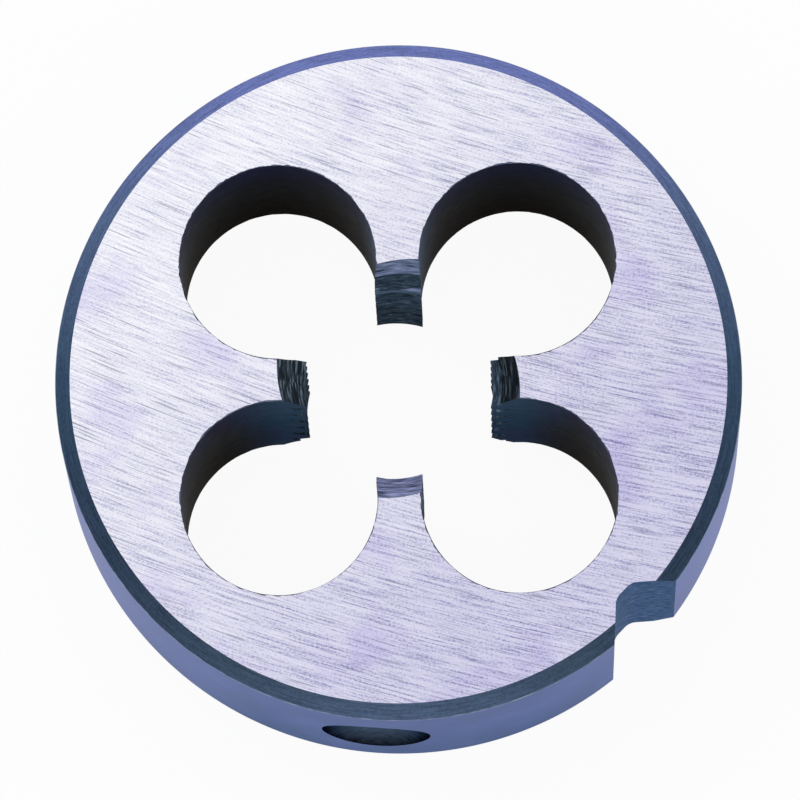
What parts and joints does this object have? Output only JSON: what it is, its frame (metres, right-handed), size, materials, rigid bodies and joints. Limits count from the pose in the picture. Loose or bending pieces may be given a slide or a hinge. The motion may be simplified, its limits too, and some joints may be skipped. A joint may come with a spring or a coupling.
{
  "type": "round threading die",
  "caption": "Round steel threading die with relieved cutting lands, round chip clearance holes, a V notch and screw dimples in the rim.",
  "frame": {"origin": "centre of the front face, on the thread's axis", "axes": "+Z along the thread's axis from the front face, where the work enters, to the back face; the lands point in along X and Y, the notch is between +X and -Y"},
  "size_m": [0.025, 0.025, 0.009],
  "materials": {
    "ground_tool_steel": "ground faces, lightly blued rim and chamfers"
  },
  "bodies": {
    "root": {"die": "ground_tool_steel"}
  },
  "joints": []
}
